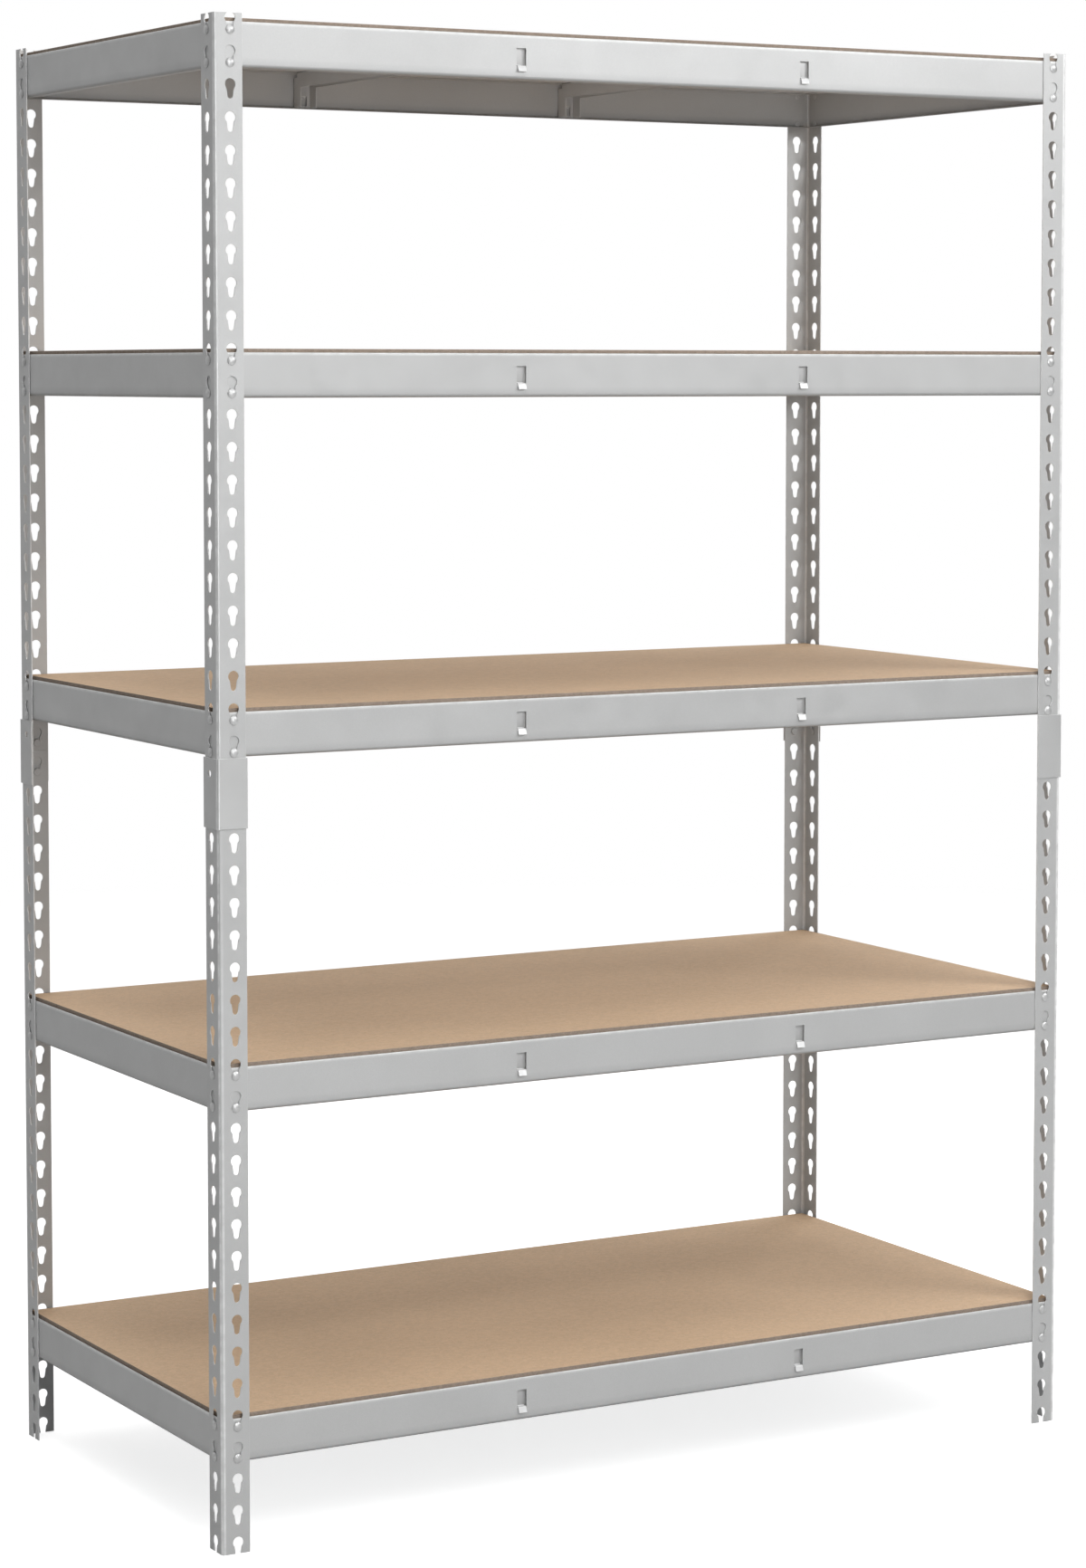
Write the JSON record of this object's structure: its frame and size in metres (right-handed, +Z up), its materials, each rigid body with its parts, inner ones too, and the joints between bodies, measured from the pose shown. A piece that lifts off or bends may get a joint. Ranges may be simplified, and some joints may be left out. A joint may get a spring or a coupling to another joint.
{
  "type": "boltless steel shelving",
  "caption": "Free-standing boltless shelving: L-section posts with keyholes, riveted steel beams hooked into them, cross tie bars and loose particle boards.",
  "frame": {"origin": "on the floor, in the middle of the footprint", "axes": "+X to the right along the shelves seen from the front, +Y from front to back, +Z up"},
  "size_m": [1.224, 0.615, 1.81],
  "materials": {
    "post_paint": "light grey satin coat on steel",
    "beam_paint": "light grey satin coat on steel",
    "tie_bar_paint": "light grey satin coat on steel",
    "particle_board": "unsealed tan particle board, matt"
  },
  "bodies": {
    "posts": {"lower_post_front_left": "post_paint", "lower_post_front_right": "post_paint", "lower_post_back_right": "post_paint", "lower_post_back_left": "post_paint", "upper_post_front_left": "post_paint", "upper_post_front_right": "post_paint", "upper_post_back_right": "post_paint", "upper_post_back_left": "post_paint", "post_coupler_front_left": "post_paint", "post_coupler_front_right": "post_paint", "post_coupler_back_right": "post_paint", "post_coupler_back_left": "post_paint"},
    "shelf_frame_1": {"front_beam_1": "beam_paint", "right_beam_1": "beam_paint", "back_beam_1": "beam_paint", "left_beam_1": "beam_paint", "left_tie_bar_1": "tie_bar_paint", "right_tie_bar_1": "tie_bar_paint"},
    "shelf_board_1": {"board_1": "particle_board"},
    "shelf_frame_2": {"front_beam_2": "beam_paint", "right_beam_2": "beam_paint", "back_beam_2": "beam_paint", "left_beam_2": "beam_paint", "left_tie_bar_2": "tie_bar_paint", "right_tie_bar_2": "tie_bar_paint"},
    "shelf_board_2": {"board_2": "particle_board"},
    "shelf_frame_3": {"front_beam_3": "beam_paint", "right_beam_3": "beam_paint", "back_beam_3": "beam_paint", "left_beam_3": "beam_paint", "left_tie_bar_3": "tie_bar_paint", "right_tie_bar_3": "tie_bar_paint"},
    "shelf_board_3": {"board_3": "particle_board"},
    "shelf_frame_4": {"front_beam_4": "beam_paint", "right_beam_4": "beam_paint", "back_beam_4": "beam_paint", "left_beam_4": "beam_paint", "left_tie_bar_4": "tie_bar_paint", "right_tie_bar_4": "tie_bar_paint"},
    "shelf_board_4": {"board_4": "particle_board"},
    "shelf_frame_5": {"front_beam_5": "beam_paint", "right_beam_5": "beam_paint", "back_beam_5": "beam_paint", "left_beam_5": "beam_paint", "left_tie_bar_5": "tie_bar_paint", "right_tie_bar_5": "tie_bar_paint"},
    "shelf_board_5": {"board_5": "particle_board"}
  },
  "joints": [
    {"name": "shelf_frame_lift_1", "type": "slide", "parent": "posts", "child": "shelf_frame_1", "axis": [0, 0, 1], "range_m": [0, 0.013]},
    {"name": "board_lift_1", "type": "slide", "parent": "shelf_frame_1", "child": "shelf_board_1", "axis": [0, 0, 1], "range_m": [0, 0.3]},
    {"name": "shelf_frame_lift_2", "type": "slide", "parent": "posts", "child": "shelf_frame_2", "axis": [0, 0, 1], "range_m": [0, 0.013]},
    {"name": "board_lift_2", "type": "slide", "parent": "shelf_frame_2", "child": "shelf_board_2", "axis": [0, 0, 1], "range_m": [0, 0.3]},
    {"name": "shelf_frame_lift_3", "type": "slide", "parent": "posts", "child": "shelf_frame_3", "axis": [0, 0, 1], "range_m": [0, 0.013]},
    {"name": "board_lift_3", "type": "slide", "parent": "shelf_frame_3", "child": "shelf_board_3", "axis": [0, 0, 1], "range_m": [0, 0.3]},
    {"name": "shelf_frame_lift_4", "type": "slide", "parent": "posts", "child": "shelf_frame_4", "axis": [0, 0, 1], "range_m": [0, 0.013]},
    {"name": "board_lift_4", "type": "slide", "parent": "shelf_frame_4", "child": "shelf_board_4", "axis": [0, 0, 1], "range_m": [0, 0.3]},
    {"name": "shelf_frame_lift_5", "type": "slide", "parent": "posts", "child": "shelf_frame_5", "axis": [0, 0, 1], "range_m": [0, 0.013]},
    {"name": "board_lift_5", "type": "slide", "parent": "shelf_frame_5", "child": "shelf_board_5", "axis": [0, 0, 1], "range_m": [0, 0.3]}
  ]
}
